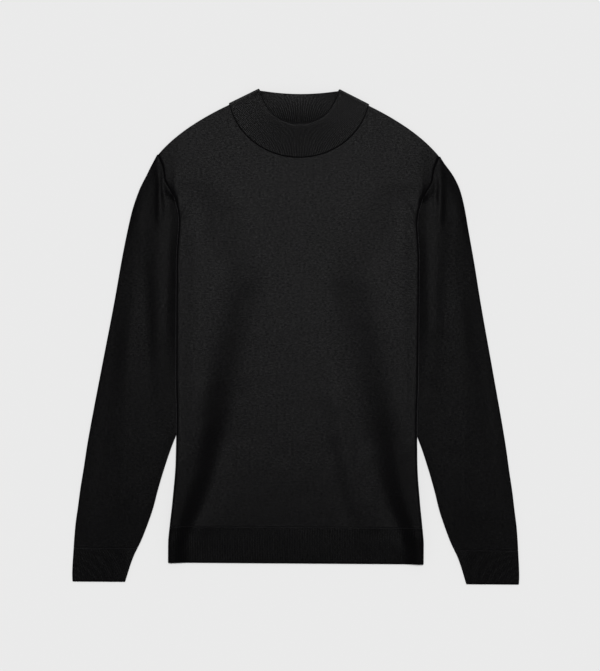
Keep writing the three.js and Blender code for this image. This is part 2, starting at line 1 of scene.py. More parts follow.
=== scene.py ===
import math
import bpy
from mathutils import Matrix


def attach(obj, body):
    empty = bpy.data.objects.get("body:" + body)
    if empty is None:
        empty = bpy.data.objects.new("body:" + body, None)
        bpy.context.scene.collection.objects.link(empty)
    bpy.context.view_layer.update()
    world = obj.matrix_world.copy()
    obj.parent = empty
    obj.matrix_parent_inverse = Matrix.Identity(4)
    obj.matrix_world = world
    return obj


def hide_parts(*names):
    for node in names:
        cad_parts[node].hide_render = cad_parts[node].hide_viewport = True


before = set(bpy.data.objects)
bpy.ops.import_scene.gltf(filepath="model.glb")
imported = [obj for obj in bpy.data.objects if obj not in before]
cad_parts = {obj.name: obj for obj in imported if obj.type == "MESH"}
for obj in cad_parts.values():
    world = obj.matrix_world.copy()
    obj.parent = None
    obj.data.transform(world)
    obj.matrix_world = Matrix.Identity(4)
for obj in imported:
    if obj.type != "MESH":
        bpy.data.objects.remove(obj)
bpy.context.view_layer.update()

from types import SimpleNamespace

import bpy
import numpy as np

# Back panel: one piece of fine jersey, cut with a shallow back neckline and sewn to the front at
# the shoulders and sides. The garment lies on it, and both its sides are folded under with the
# front's. Sizes are in millimetres, and turns in degrees.
MILLIMETRE = 0.001
CLOTH = 1.6
GAP = 0.3
LAYER = CLOTH + GAP
PAIR_MIDDLE = CLOTH + GAP / 2

HEM_SEAM_Y = -286.3
HEM_EDGE_Y = -341.0
CUFF_SEAM_Y = -319.5
CUFF_EDGE_Y = -370.5
UNDERARM_Y = 50.0
YOKE_Y = 230.0
SHOULDER_POINT = SimpleNamespace(x=211.0, y=271.0)
NECK_POINT = SimpleNamespace(x=104.6, y=346.9)
SHOULDER_BEND = SimpleNamespace(x=176.5, y=312.5)
FRONT_NECK = SimpleNamespace(centre_y=368.5, wide=107.1, deep=100.3)
BACK_NECK_DEPTH = 32.0
# The sleeve beneath props up the body: the heights where that starts and is full, how far inside
# the sleeve's edge it lets go, and how wide the slope down to the middle is, low and high up.
PROP = SimpleNamespace(top=262.0, full=176.0)
SLEEVE_MARGIN = 13.0
SLEEVE_SLOPE = SimpleNamespace(low=85.0, high=118.0, from_y=95.0, over=90.0)
# The foot of the armhole seam that shows, and the stretches above it in which the seam's dip, the
# sleeve's rise to the body's edge and its clearance from that edge come in.
SEWN_TO_SLEEVE = SimpleNamespace(foot_y=196.0, dip=8.0, rise=18.0, clear_y=200.0, clear=12.0)


def table(columns, rows):
    """Rows of numbers under named columns, lowest place first."""
    names = columns.split()
    values = np.array(sorted(rows), float).T
    return {name: values[k] for k, name in enumerate(names)}


# Half width where the flat front ends, how far the side turns under in degrees, the cloth past the
# turn, how much that lifts the front, and how wide the slope is that comes down to the middle.
BODY = table("y fold turn tuck rise slope", [
    (271, 184.3, 1, 20.7, 0.8, 40),
    (250, 181.3, 2, 15.6, 2.0, 52),
    (235, 180.3, 4, 14.5, 3.0, 64),
    (224, 179.6, 7, 9.9, 3.7, 76),
    (212, 178.8, 14, 4.2, 4.1, 84),
    (206, 178.5, 30, 2.0, 4.2, 88),
    (200, 178.4, 75, 0.8, 4.2, 92),
    (194, 178.0, 105, 2.0, 4.2, 95),
    (186, 176.7, 150, 2.5, 4.1, 108),
    (168, 175.4, 180, 5, 3.8, 114),
    (140, 177.3, 180, 18, 3.8, 108),
    (113, 178.6, 180, 36, 3.8, 104),
    (80, 178.6, 180, 48, 3.8, 96),
    (50, 178.5, 180, 47, 3.8, 84),
    (-22, 178.3, 180, 39, 3.8, 70),
    (-67, 178.0, 180, 37, 3.8, 60),
    (-126, 176.6, 180, 32, 3.8, 54),
    (-187, 177.3, 180, 24, 3.8, 46),
    (-247, 181.7, 180, 14, 3.8, 36),
    (-286, 185.8, 180, 7.5, 3.8, 28),
    (-312, 187.9, 180, 5, 3.8, 26),
    (-341, 188.0, 180, 4, 3.8, 24),
])

# Half widths of the sleeve's outer fold and of its underarm edge.
SLEEVE = table("y outer inner", [
    (271, 213.3, 131.5),
    (260, 219.2, 131.5),
    (240, 230.8, 131.5),
    (220, 240.5, 131.5),
    (190, 249.5, 131.5),
    (160, 255.7, 131.5),
    (115, 264.2, 131.5),
    (50, 275.2, 131.5),
    (-50, 293.7, 150),
    (-140, 310.2, 178.9),
    (-170, 315.2, 190.2),
    (-200, 319.5, 200.0),
    (-230, 324.2, 208.7),
    (-260, 328, 216.4),
    (-285, 331.3, 224.9),
    (-312, 333.4, 235.5),
    (-330, 334.4, 244.3),
    (-345, 335.3, 249.8),
    (-360, 335.7, 254.4),
    (-370.5, 335.2, 257.6),
])


def smooth(part):
    """Level at the start and at the end."""
    held = np.clip(part, 0.0, 1.0)
    return held * held * (3 - 2 * held)


def eased(part):
    """Steepest at the start, and level at the end."""
    return 1 - (1 - np.clip(part, 0.0, 1.0)) ** 2


def mixed(start, end, share):
    return start + (end - start) * share


def read(rows, column, place, key="y"):
    """A column of a table between its rows, along a curve that stays between them."""
    at, value = rows[key], rows[column]
    rise = np.diff(value) / np.diff(at)
    slope = np.zeros_like(value)
    slope[0], slope[-1] = rise[0], rise[-1]
    product = rise[:-1] * rise[1:]
    total = rise[:-1] + rise[1:]
    slope[1:-1] = np.where(product > 0, 2 * product / np.where(total == 0, 1, total), 0)
    place = np.clip(place, at[0], at[-1])
    k = np.clip(np.searchsorted(at, place) - 1, 0, len(at) - 2)
    span = at[k + 1] - at[k]
    t = (place - at[k]) / span
    bend = span * t * (1 - t) * (slope[k] * (1 - t) - slope[k + 1] * t)
    return mixed(value[k], value[k + 1], smooth(t)) + bend


def body_side(y):
    """The side of the body at a height: its fold, how far it turns under and where it ends."""
    fold = read(BODY, "fold", y)
    turn = np.radians(read(BODY, "turn", y))
    tuck = read(BODY, "tuck", y)
    radius = math.pi * LAYER / turn
    return SimpleNamespace(
        fold=fold,
        turn=turn,
        tuck=tuck,
        slope=read(BODY, "slope", y),
        radius=radius,
        rise=read(BODY, "rise", y),
        tuck_end=fold - tuck * np.maximum(0, -np.cos(turn)),
        prop=smooth((PROP.top - y) / (PROP.top - PROP.full)),
        end_x=fold + radius * np.sin(turn) + tuck * np.cos(turn),
    )


def sleeve_below(side, x, y):
    """How far the sleeve that lies beneath lifts the body."""
    edge = np.where(y > UNDERARM_Y, side.end_x, read(SLEEVE, "inner", y))
    slope = mixed(SLEEVE_SLOPE.low, SLEEVE_SLOPE.high, smooth((y - SLEEVE_SLOPE.from_y) / SLEEVE_SLOPE.over))
    return 2 * LAYER * side.prop * smooth(1 + (x + SLEEVE_MARGIN - edge) / slope)


def body_place(lanes, y):
    """Places midway between front and back, and the way they face: over the front, round the
    side fold and on beneath it. Lanes run across and y down the garment."""
    side = body_side(y)
    main = lanes.zone == 0
    angle = np.where(main, 0.0, np.where(lanes.zone == 1, side.turn * lanes.share, side.turn))
    past = np.where(lanes.zone == 2, side.tuck * lanes.share, 0.0)
    beyond_x = side.fold + side.radius * np.sin(angle) + past * np.cos(angle)
    x = np.where(main, side.fold * lanes.share, beyond_x)
    fall = side.radius * (1 - np.cos(angle)) + past * np.sin(angle)
    over_tuck = side.rise * smooth(1 + (x - side.tuck_end) / side.slope)
    z = PAIR_MIDDLE + sleeve_below(side, np.minimum(x, side.fold), y)
    z = z + np.where(main, over_tuck, side.rise - fall)
    cut_x = np.where(main, x, side.fold + side.radius * angle + past)
    past_end = np.where(lanes.zone == 2, side.tuck - past, side.tuck + 1.0)
    open_share = np.where(main, 1.0, np.where(lanes.zone == 1, (1 + np.cos(angle)) / 2,
                                              (1 + np.cos(side.turn)) / 2 * (1 - lanes.share)))
    return SimpleNamespace(x=x, z=z, face_x=np.sin(angle), face_z=np.cos(angle), cut_x=cut_x,
                           open_share=open_share, from_end=past_end)


def shoulder_y(x):
    """The shoulder seam, a plain curve from the neck point to the shoulder point."""
    bend = NECK_POINT.x - 2 * SHOULDER_BEND.x + SHOULDER_POINT.x
    start = 2 * (SHOULDER_BEND.x - NECK_POINT.x)
    reach = np.maximum(x - NECK_POINT.x, 0)
    share = (-start + np.sqrt(start ** 2 + 4 * bend * reach)) / (2 * bend)
    rest = 1 - share
    return (rest * rest * NECK_POINT.y + 2 * share * rest * SHOULDER_BEND.y
            + share * share * SHOULDER_POINT.y)


def front_neck_y(x):
    across = np.minimum(x / FRONT_NECK.wide, 1)
    return FRONT_NECK.centre_y - FRONT_NECK.deep * np.sqrt(1 - across ** 2)


def back_neck_y(x):
    return NECK_POINT.y - BACK_NECK_DEPTH * np.sqrt(1 - np.minimum(x / NECK_POINT.x, 1) ** 2)


def both_hands(zone, share):
    """Lanes from the centre out to one side, laid out from one side to the other."""
    return SimpleNamespace(
        hand=np.concatenate([-np.ones(len(zone) - 1), np.ones(len(zone))]),
        zone=np.concatenate([zone[:0:-1], zone]),
        share=np.concatenate([share[:0:-1], share]),
    )


def close_to_end(steps):
    """Steps from 0 to 1 that get closer towards 1, without the 0."""
    return 1 - (1 - np.linspace(0, 1, steps + 1)[1:]) ** 1.5


def body_lanes(neck=44, shoulder=30, turn=10, tuck=14):
    """Lanes across a panel: over the front, round the side fold, and on over the tuck."""
    top = BODY["fold"][-1]
    neck_angle = math.asin(NECK_POINT.x / FRONT_NECK.wide)
    neck_x = FRONT_NECK.wide * np.sin(neck_angle * np.linspace(0, 1, neck + 1))
    shoulder_x = np.linspace(NECK_POINT.x, top, shoulder + 1)[1:]
    turn_share = np.linspace(0, 1, turn + 1)[1:]
    share = np.concatenate([neck_x / top, shoulder_x / top, turn_share, close_to_end(tuck)])
    zone = np.repeat([0, 1, 2], [neck + 1 + shoulder, turn, tuck])
    return both_hands(zone, share)


def near_edges(start, end, steps, close=(0.25, 0.7, 1.3, 2.1, 3.2)):
    """Even steps from start to end, with closer ones by both ends."""
    way = math.copysign(1.0, end - start)
    close = np.array(close)
    past = way * (close[-1] + 2)
    middle = np.linspace(start + past, end - past, steps)
    return np.concatenate([[start], start + way * close, middle, end - way * close[::-1], [end]])


# How far an edge takes to thin out, where it is sewn and where it is open.
SEWN, OPEN = 0.4, 1.6
SEAM_DIP = SimpleNamespace(deep=0.6, wide=1.25)


def rolled(distance, reach):
    """An edge thins to nothing over its last stretch, as a quarter round: short where it is sewn
    to the next piece, and longer where it is open."""
    left = 1 - np.clip(distance / reach, 0, 1)
    return np.sqrt(1 - left ** 2)


def uneven(x, y, seed, reach, high, waves=12):
    """Slight unevenness of cloth that has been handled: a few long soft ripples."""
    chance = np.random.default_rng(seed)
    total = 0
    for _ in range(waves):
        way, phase = chance.uniform(0, 2 * math.pi, 2)
        length = chance.uniform(*reach)
        total = total + np.sin((x * math.cos(way) + y * math.sin(way)) * 2 * math.pi / length + phase)
    return high * total / math.sqrt(waves)


def cloth_wall(name, outer, inner, cut, closed=False):
    """A closed wall of cloth from rows of outer and inner points that meet at its edges, with the
    place of each point in the flat cut, in millimetres, as its UV."""
    rows, lanes = outer.shape[:2]
    outer_index = np.arange(rows * lanes).reshape(rows, lanes)
    edge = np.zeros((rows, lanes), bool)
    edge[[0, -1], :] = True
    if not closed:
        edge[:, [0, -1]] = True
    inner_index = outer_index.copy()
    inner_index[~edge] = rows * lanes + np.arange((~edge).sum())
    points = np.concatenate([outer.reshape(-1, 3), inner[~edge]]) * MILLIMETRE
    if closed:
        outer_index = np.hstack([outer_index, outer_index[:, :1]])
        inner_index = np.hstack([inner_index, inner_index[:, :1]])

    def quads(grid):
        corners = (grid[:-1, :-1], grid[:-1, 1:], grid[1:, 1:], grid[1:, :-1])
        return np.stack(corners, -1).reshape(-1, 4)

    width = outer_index.shape[1]
    place_index = quads(np.arange(rows * width).reshape(rows, width))
    places = cut.reshape(-1, 2)
    faces = np.concatenate([quads(outer_index), quads(inner_index)[:, ::-1]])
    face_places = np.concatenate([place_index, place_index[:, ::-1]])
    a, b, c = (points[faces[:, k]] for k in range(3))
    volume = (a * np.cross(b, c)).sum() + (a * np.cross(c, points[faces[:, 3]])).sum()
    if volume < 0:
        faces, face_places = faces[:, ::-1], face_places[:, ::-1]
    mesh = bpy.data.meshes.new(name)
    mesh.from_pydata(points.tolist(), [], faces.tolist())
    layer = mesh.uv_layers.new(name="cut")
    layer.data.foreach_set("uv", places[face_places.ravel()].astype(np.float32).ravel())
    mesh.polygons.foreach_set("use_smooth", np.ones(len(faces), bool))
    mesh.update()
    piece = bpy.data.objects.new(name, mesh)
    bpy.context.scene.collection.objects.link(piece)
    return piece


def seam_dip(distance):
    """The two pieces are drawn down where they meet along a seam."""
    return SEAM_DIP.deep * np.exp(-(distance / SEAM_DIP.wide) ** 2)


YOKE_ROWS, BODY_ROWS = 41, 176
# Taken as the distance from the shoulder and neck edge, for all that lies well below them.
FAR_BELOW = 99.0


def body_panel(name, neck_y, middle, loft=None):
    """A body panel from the shoulders and neck down to the hem seam. Above the yoke its rows turn
    into the line of the shoulders and neck, and below it they run straight across."""
    lanes = body_lanes()
    reach = 1 - np.linspace(0, 1, YOKE_ROWS) ** 1.5
    down = near_edges(YOKE_Y, HEM_SEAM_Y, BODY_ROWS)
    straight = down[down < YOKE_Y - LAYER * 2]
    y_side = np.concatenate([mixed(YOKE_Y, SHOULDER_POINT.y, reach), straight])[:, None]
    reach = np.concatenate([reach, np.zeros(len(straight))])[:, None]
    place = body_place(lanes, y_side)
    top = body_place(lanes, np.array([[SHOULDER_POINT.y]])).cut_x
    top_y = np.where(top < NECK_POINT.x, neck_y(top), shoulder_y(top))
    slope = np.gradient(top_y[0]) / np.gradient(top[0] * lanes.hand)
    y = np.where(reach > 0, mixed(YOKE_Y, top_y, reach), y_side)
    below_top = np.where(reach > 0, (top_y - y) / np.hypot(1, slope), FAR_BELOW)
    half = CLOTH / 2 * rolled(np.minimum(below_top, y - HEM_SEAM_Y), SEWN)
    half = half * rolled(place.from_end, OPEN)
    x = place.x * lanes.hand
    rise = 0 if loft is None else place.open_share * loft(x, y, top_y - y)
    beside_sleeve = smooth((y - SEWN_TO_SLEEVE.foot_y) / SEWN_TO_SLEEVE.dip)
    rise = rise - (middle > 0) * seam_dip(place.from_end) * beside_sleeve

    def surface(out):
        return np.stack([x + lanes.hand * place.face_x * out, y + 0 * x,
                         place.z + place.face_z * out + rise], -1)

    cut = np.stack([place.cut_x * lanes.hand, y + 0 * x], -1)
    return cloth_wall(name, surface(middle + half), surface(middle - half), cut)


# The height of a stitch row. The scales of nap and heather are for metres on the object, and the
# other sizes of the knit for millimetres in the flat cut.
COURSE = 1.0
YARN = SimpleNamespace(wander=0.5, wander_scale=0.35, leg_lean=-0.55, groove_edge=3.0)
GRAIN = SimpleNamespace(across=0.25, down=0.6, high=0.35)
NAP = SimpleNamespace(fibre_scale=900.0, high=0.55, rough=0.24, rougher=0.12)
# The blotch and cloud are the yarn's own heather, a tone that differs at random; the stitch share is painted
# shade, darker in the grooves between stitches and lighter on their raised strands.
HEATHER_AND_PAINTED_STITCH_SHADE = SimpleNamespace(blotch_scale=130.0, blotch=0.55, cloud_scale=16.0, cloud=0.3,
                          stitch=0.35, least=0.35, darkest=0.62, lightest=1.38)
FLECK = SimpleNamespace(bright=3.2, dark=-0.6, on_wale=0.9, in_groove=0.325, least=0.1)
SHEEN = SimpleNamespace(weight=0.07, roughness=0.35, tint=(0.86, 0.84, 0.9, 1))
BUMP_STRENGTH = 0.4


def knit_material(name, tint, wale, depth, gloss):
    """Fine wool knit: rows of small V stitches, or the straight wales of a rib, with a slight heather in the
    yarn, painted shade in the grooves between the stitches and a soft nap that catches light."""
    material = bpy.data.materials.new(name)
    material.use_nodes = True
    nodes, links = material.node_tree.nodes, material.node_tree.links
    shader = nodes["Principled BSDF"]
    shader.inputs["Sheen Weight"].default_value = SHEEN.weight
    shader.inputs["Sheen Roughness"].default_value = SHEEN.roughness
    shader.inputs["Sheen Tint"].default_value = SHEEN.tint
    shader.inputs["IOR"].default_value = 1.45

    def math_node(operation, first, second=None, third=None):
        node = nodes.new("ShaderNodeMath")
        node.operation = operation
        for socket, value in zip(node.inputs, (first, second, third)):
            if value is None:
                continue
            if isinstance(value, (int, float)):
                socket.default_value = value
            else:
                links.new(value, socket)
        return node.outputs[0]

    def noise(vector, scale, detail):
        node = nodes.new("ShaderNodeTexNoise")
        node.inputs["Scale"].default_value = scale
        node.inputs["Detail"].default_value = detail
        links.new(vector, node.inputs["Vector"])
        return node.outputs["Fac"]

    place = nodes.new("ShaderNodeUVMap")
    place.uv_map = "cut"
    parts = nodes.new("ShaderNodeSeparateXYZ")
    links.new(place.outputs[0], parts.inputs[0])
    across, down = parts.outputs[0], parts.outputs[1]
    wander = noise(place.outputs[0], YARN.wander_scale, 2)
    across = math_node("MULTIPLY_ADD", wander, YARN.wander, across)
    wale_share = math_node("FRACT", math_node("DIVIDE", across, wale))
    from_middle = math_node("ABSOLUTE", math_node("MULTIPLY_ADD", wale_share, 2.0, -1.0))
    row = math_node("DIVIDE", down, COURSE)
    leg = math_node("FRACT", math_node("MULTIPLY_ADD", from_middle, YARN.leg_lean, row))
    strand = math_node("SINE", math_node("MULTIPLY", leg, math.pi))
    groove = math_node("SUBTRACT", 1.0, math_node("POWER", from_middle, YARN.groove_edge))
    stitch = math_node("MULTIPLY", strand, groove)
    stretched = nodes.new("ShaderNodeCombineXYZ")
    links.new(math_node("MULTIPLY", across, GRAIN.across), stretched.inputs[0])
    links.new(math_node("MULTIPLY", down, GRAIN.down), stretched.inputs[1])
    grain = noise(stretched.outputs[0], 1.0, 2)
    object_place = nodes.new("ShaderNodeTexCoord").outputs["Object"]
    fibre = noise(object_place, NAP.fibre_scale, 3)
    blotch = noise(object_place, HEATHER_AND_PAINTED_STITCH_SHADE.blotch_scale, 3)
    cloudy = noise(object_place, HEATHER_AND_PAINTED_STITCH_SHADE.cloud_scale, 2)
    height = math_node("MULTIPLY_ADD", grain, GRAIN.high, stitch)
    height = math_node("MULTIPLY_ADD", fibre, NAP.high, height)
    bump = nodes.new("ShaderNodeBump")
    bump.inputs["Strength"].default_value = BUMP_STRENGTH
    bump.inputs["Distance"].default_value = depth * MILLIMETRE
    links.new(height, bump.inputs["Height"])
    links.new(bump.outputs[0], shader.inputs["Normal"])
    shade = math_node("MULTIPLY_ADD", cloudy, HEATHER_AND_PAINTED_STITCH_SHADE.cloud, HEATHER_AND_PAINTED_STITCH_SHADE.least)
    shade = math_node("MULTIPLY_ADD", blotch, HEATHER_AND_PAINTED_STITCH_SHADE.blotch, shade)
    # Painted shade: the colour is darker in the grooves between the stitches and lighter on their raised
    # strands.
    shade = math_node("MULTIPLY_ADD", stitch, HEATHER_AND_PAINTED_STITCH_SHADE.stitch, shade)
    colour = nodes.new("ShaderNodeMix")
    colour.data_type = "RGBA"
    colour.inputs["A"].default_value = (*(HEATHER_AND_PAINTED_STITCH_SHADE.darkest * part for part in tint), 1)
    colour.inputs["B"].default_value = (*(HEATHER_AND_PAINTED_STITCH_SHADE.lightest * part for part in tint), 1)
    links.new(shade, colour.inputs["Factor"])
    links.new(colour.outputs["Result"], shader.inputs["Base Color"])
    rough = math_node("MULTIPLY_ADD", fibre, NAP.rougher, NAP.rough)
    links.new(rough, shader.inputs["Roughness"])
    fleck = math_node("MULTIPLY_ADD", grain, FLECK.bright * gloss, FLECK.dark * gloss)
    on_stitch = math_node("MULTIPLY_ADD", groove, FLECK.on_wale, FLECK.in_groove)
    fleck = math_node("MULTIPLY", fleck, on_stitch)
    links.new(math_node("MAXIMUM", fleck, FLECK.least * gloss), shader.inputs["Specular IOR Level"])
    return material


def dress(piece, material, node):
    """Gives a piece its knit and its place in the frame, and hides the model's part that it stands for."""
    piece.data.materials.append(material)
    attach(piece, "root")
    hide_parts(node)


CHARCOAL = (0.0016, 0.00153, 0.0017)
JERSEY_WALE, JERSEY_DEPTH = 1.3, 0.16
jersey = knit_material("charcoal jersey", CHARCOAL, JERSEY_WALE, JERSEY_DEPTH, gloss=0.0323)
back_panel = body_panel("back_panel_knit", back_neck_y, -LAYER / 2)
dress(back_panel, jersey, "back_panel")

# Front panel: the same cut with a deep round neckline. It lies loose on the back panel, so it
# carries the soft creases that run down from the armholes, where the folded sides end below it.
BODY_LOFT = table("y high", [
    (347, 0.3),
    (250, 0.7),
    (120, 1.2),
    (0, 2.4),
    (-180, 3.2),
    (-286, 2.0),
    (-341, 0.8),
])
LOFT_FROM_TOP = 80.0
# How far past its two ends a crease fades out, for its width and for its length.
FADE_BY_WIDTH, FADE_BY_LENGTH = 1.2, 0.3
# The two long troughs, where the front comes down from its folded sides.
TROUGHS = {
    -1: table("y x wide high", [
        (150, 84, 26, 0),
        (114, 82, 28, -0.2),
        (84, 80, 29, -0.5),
        (24, 90, 30, -1.0),
        (-36, 98, 30, -1.3),
        (-96, 103, 29, -1.7),
        (-156, 112, 26, -2.1),
        (-216, 129, 27, -1.7),
        (-276, 156, 19, -1.4),
        (-325, 173, 10, -0.6),
    ]),
    1: table("y x wide high", [
        (150, 96, 26, 0),
        (84, 96, 27, -0.3),
        (24, 98, 28, -0.8),
        (-36, 110, 28, -1.1),
        (-96, 115, 28, -1.5),
        (-156, 123, 29, -2.0),
        (-216, 135, 32, -1.6),
        (-276, 154, 22, -1.4),
        (-325, 173, 10, -0.6),
    ]),
}
BODY_CREASES = [
    dict(start=(-150, 120), end=(-150, -70), wide=18, high=0.9),
    dict(start=(153, 120), end=(158, -110), wide=18, high=1.0),
    dict(start=(60, -110), end=(88, -235), wide=15, high=1.0),
    dict(start=(54, -185), end=(66, -240), wide=11, high=-0.6),
    dict(start=(106, -190), end=(114, -250), wide=8, high=0.5),
    dict(start=(-112, -200), end=(-130, -270), wide=8, high=0.5),
    dict(start=(-164, 194), end=(-171, 180), wide=3.5, high=0.7),
    dict(start=(164, 194), end=(171, 180), wide=3.5, high=0.7),
    dict(start=(-40, 216), end=(-58, 140), wide=30, high=0.5),
    dict(start=(44, 220), end=(68, 150), wide=28, high=0.5),
]


def crease_height(creases, x, y):
    """Soft creases, each a rounded ridge or trough that fades out at its two ends."""
    height = 0
    for crease in creases:
        (x0, y0), (x1, y1), wide = crease["start"], crease["end"], crease["wide"]
        length = math.hypot(x1 - x0, y1 - y0)
        along = ((x - x0) * (x1 - x0) + (y - y0) * (y1 - y0)) / length
        off = ((x - x0) * (y1 - y0) - (y - y0) * (x1 - x0)) / length
        beyond = np.maximum(0, np.maximum(-along, along - length))
        fade_out = FADE_BY_WIDTH * wide + FADE_BY_LENGTH * length
        fade = (off / wide) ** 2 + (beyond / fade_out) ** 2
        height = height + crease["high"] * np.exp(-fade)
    return height


def front_loft(x, y, below_top):
    """How far the front stands off the back: it is loose, with troughs and creases in it."""
    at_top = smooth(below_top / LOFT_FROM_TOP)
    loft = read(BODY_LOFT, "high", y) + crease_height(BODY_CREASES, x, y)
    loft = loft + uneven(x, y, seed=5, reach=(30, 90), high=0.05)
    for hand, trough in TROUGHS.items():
        off = (x * hand - read(trough, "x", y)) / read(trough, "wide", y)
        loft = loft + read(trough, "high", y) * np.exp(-off ** 2)
    return np.maximum(0, loft) * at_top


front_panel = body_panel("front_panel_knit", front_neck_y, LAYER / 2, front_loft)
dress(front_panel, jersey, "front_panel")

# Hem band: a rib knit band, sewn to the lower edge of the front and back and folded under with
# them at the sides. Its wales run straight down and stand up as fine ridges.
RIB_HEIGHT = 0.5
RIB_STEPS = 6
HEM_RIB = 2.5
RIB_CHARCOAL = (0.0013, 0.00124, 0.00138)
RIB_DEPTH = 0.12
# How much of their full height the ribs stand up, where the band is pressed and where it lies below.
FRONT_RIBBED, BACK_RIBBED, BACK_GROOVED = 0.32, 0.6, 0.6
BAND_ROWS = dict(steps=12, close=(0.2, 0.5, 0.9, 1.5))


def rib_wave(share):
    """One rib from groove to groove: a rounded ridge with a narrow groove."""
    return np.abs(np.sin(math.pi * share)) ** 0.7


def hem_band(name, middle, ribbed_by, loft=None):
    """The front or back of the hem band, from the seam to its open edge, ribbed on its outside."""
    ribs = round(BODY["fold"][0] / HEM_RIB)
    main = np.linspace(0, 1, ribs * RIB_STEPS + 1)
    turn = np.linspace(0, 1, 11)[1:]
    tuck = close_to_end(8)
    zone = np.repeat([0, 1, 2], [len(main), len(turn), len(tuck)])
    lanes = both_hands(zone, np.concatenate([main, turn, tuck]))
    y = near_edges(HEM_SEAM_Y, HEM_EDGE_Y, **BAND_ROWS)[:, None]
    place = body_place(lanes, y)
    full = rolled(y[0] - y, SEWN) * rolled(y - y[-1], OPEN) * rolled(place.from_end, OPEN)
    half = CLOTH / 2 * full
    wave = np.where(lanes.zone == 0, rib_wave(lanes.share * ribs), 0.5) * ribbed_by * full
    x = place.x * lanes.hand
    rise = 0 if loft is None else place.open_share * loft(x, y, LOFT_FROM_TOP)

    def surface(out):
        return np.stack([x + lanes.hand * place.face_x * out, y + 0 * x,
                         place.z + place.face_z * out + rise], -1)

    cut = np.stack([place.cut_x * lanes.hand, y + 0 * x], -1)
    upper, lower = (half + wave, -half) if middle > 0 else (half, -half + wave * BACK_GROOVED)
    return cloth_wall(name, surface(middle + upper), surface(middle + lower), cut)


rib_knit = knit_material("charcoal rib", RIB_CHARCOAL, HEM_RIB, RIB_DEPTH, gloss=0.0315)
hem_back = hem_band("hem_back_rib", -LAYER / 2, RIB_HEIGHT * BACK_RIBBED)
dress(hem_back, rib_knit, "hem_back")
hem_front = hem_band("hem_front_rib", LAYER / 2, RIB_HEIGHT * FRONT_RIBBED, front_loft)
dress(hem_front, rib_knit, "hem_front")

# Sleeves: each one piece of jersey, sewn into the armhole and closed along the underarm, pressed
# flat with its outer fold along the arm. Its underarm side lies beneath the body's folded side.
# As the garment lies, the left sleeve's cap is a little further out and the right's further in.
CAP_LEAN = SimpleNamespace(high=2.9, y=238.0, spread=48.0, reach=0.06)
SLEEVE_LOFT = table("y high", [
    (271, 0.3),
    (200, 1.5),
    (110, 2.2),
    (30, 2.4),
    (-60, 2.4),
    (-150, 2.1),
    (-250, 1.5),
    (-320, 1.0),
    (-371, 0.8),
])
SLEEVE_LOFT_EDGE = SimpleNamespace(clear=0.5, body=19.0, past_cuff=40.0, cuff=170.0, inner=0.35)
# How much of the width the top takes to come down to the outer fold: little by the shoulder.
OUTER_FALL = SimpleNamespace(low=0.45, high=0.14, from_y=90.0, over=100.0)
ARMHOLE_HEIGHTS = (50, 113, 168, 200, 212, 230, 243.67, 257.33, 271)
SLEEVE_ROWS, TOP_LANES, UNDER_LANES = 150, 66, 40
# The sleeve laps in beneath the body's edge at the seam, and comes up to it over a short stretch.
ARMHOLE_LAP = SimpleNamespace(wide=1.0, reach=0.04)
CAP_BLEND = 14.0
CAP_RISE = SimpleNamespace(foot_y=194.0, over=10.0)
# From the armhole to the cuff seam, along the underarm and along the outer fold.
SLEEVE_RUN = SimpleNamespace(underarm=369.0, fold=590.0)
# Above the cuff seam the outer fold turns to run straight on into the cuff.
CUFF_STRAIGHT = 20.0
# How far round its folded edge each wall of the sleeve turns down towards the underarm seam.
SEAM_TURN = 65
SLEEVE_CREASES = {
    -1: [
        dict(start=(209, 230), end=(208, 188), wide=5.5, high=1.2),
        dict(start=(203, 230), end=(202, 209), wide=4, high=-0.8),
        dict(start=(205, 205), end=(205, 20), wide=20, high=2.0),
        dict(start=(227, 60), end=(218, -85), wide=11, high=-0.6),
        dict(start=(252, -20), end=(257, -215), wide=14, high=0.9),
        dict(start=(281, 0), end=(296, -220), wide=12, high=-0.5),
    ],
    1: [
        dict(start=(211, 230), end=(212, 188), wide=5.5, high=1.1),
        dict(start=(205, 230), end=(205, 209), wide=4, high=-0.8),
        dict(start=(206, 205), end=(207, 30), wide=20, high=2.0),
        dict(start=(218, 60), end=(213, -85), wide=11, high=-0.6),
        dict(start=(246, -20), end=(252, -220), wide=15, high=0.8),
        dict(start=(276, -5), end=(294, -180), wide=13, high=-0.5),
    ],
}


def armhole_place(share):
    """Along the armhole from the underarm to the shoulder point, at the body's edge."""
    y = np.interp(share * (len(ARMHOLE_HEIGHTS) - 1), range(len(ARMHOLE_HEIGHTS)), ARMHOLE_HEIGHTS)
    side = body_side(y)
    turned = smooth((y - SEWN_TO_SLEEVE.clear_y) / SEWN_TO_SLEEVE.clear)
    clear = PAIR_MIDDLE * np.sin(side.turn) * turned
    return side.end_x + clear, y


def sleeve_edge(column, from_y, along):
    """The underarm edge or the middle of the outer fold, from the armhole to the cuff seam."""
    y = mixed(from_y, CUFF_SEAM_Y, along)
    return read(SLEEVE, column, y) - (PAIR_MIDDLE if column == "outer" else 0), y


def sleeve_ring(front, fold, back):
    """Round the sleeve: over the front, round the outer fold, beneath, and both seam edges."""
    seam = np.linspace(SEAM_TURN, 0, 5)[:-1]
    share = np.concatenate([0 * seam, front, np.ones(len(fold)), back, 0 * seam])
    turn = np.concatenate([-seam, 0 * front, fold, 180 + 0 * back, -180 + seam[::-1]])
    return SimpleNamespace(share=share, turn=turn)


def edge_normal(column, y):
    """The way out from an edge of the sleeve, square to it in the plane it lies in."""
    step = 2.0
    run = (read(SLEEVE, column, y + step) - read(SLEEVE, column, y - step)) / (2 * step)
    length = np.hypot(1, run)
    return 1 / length, -run / length


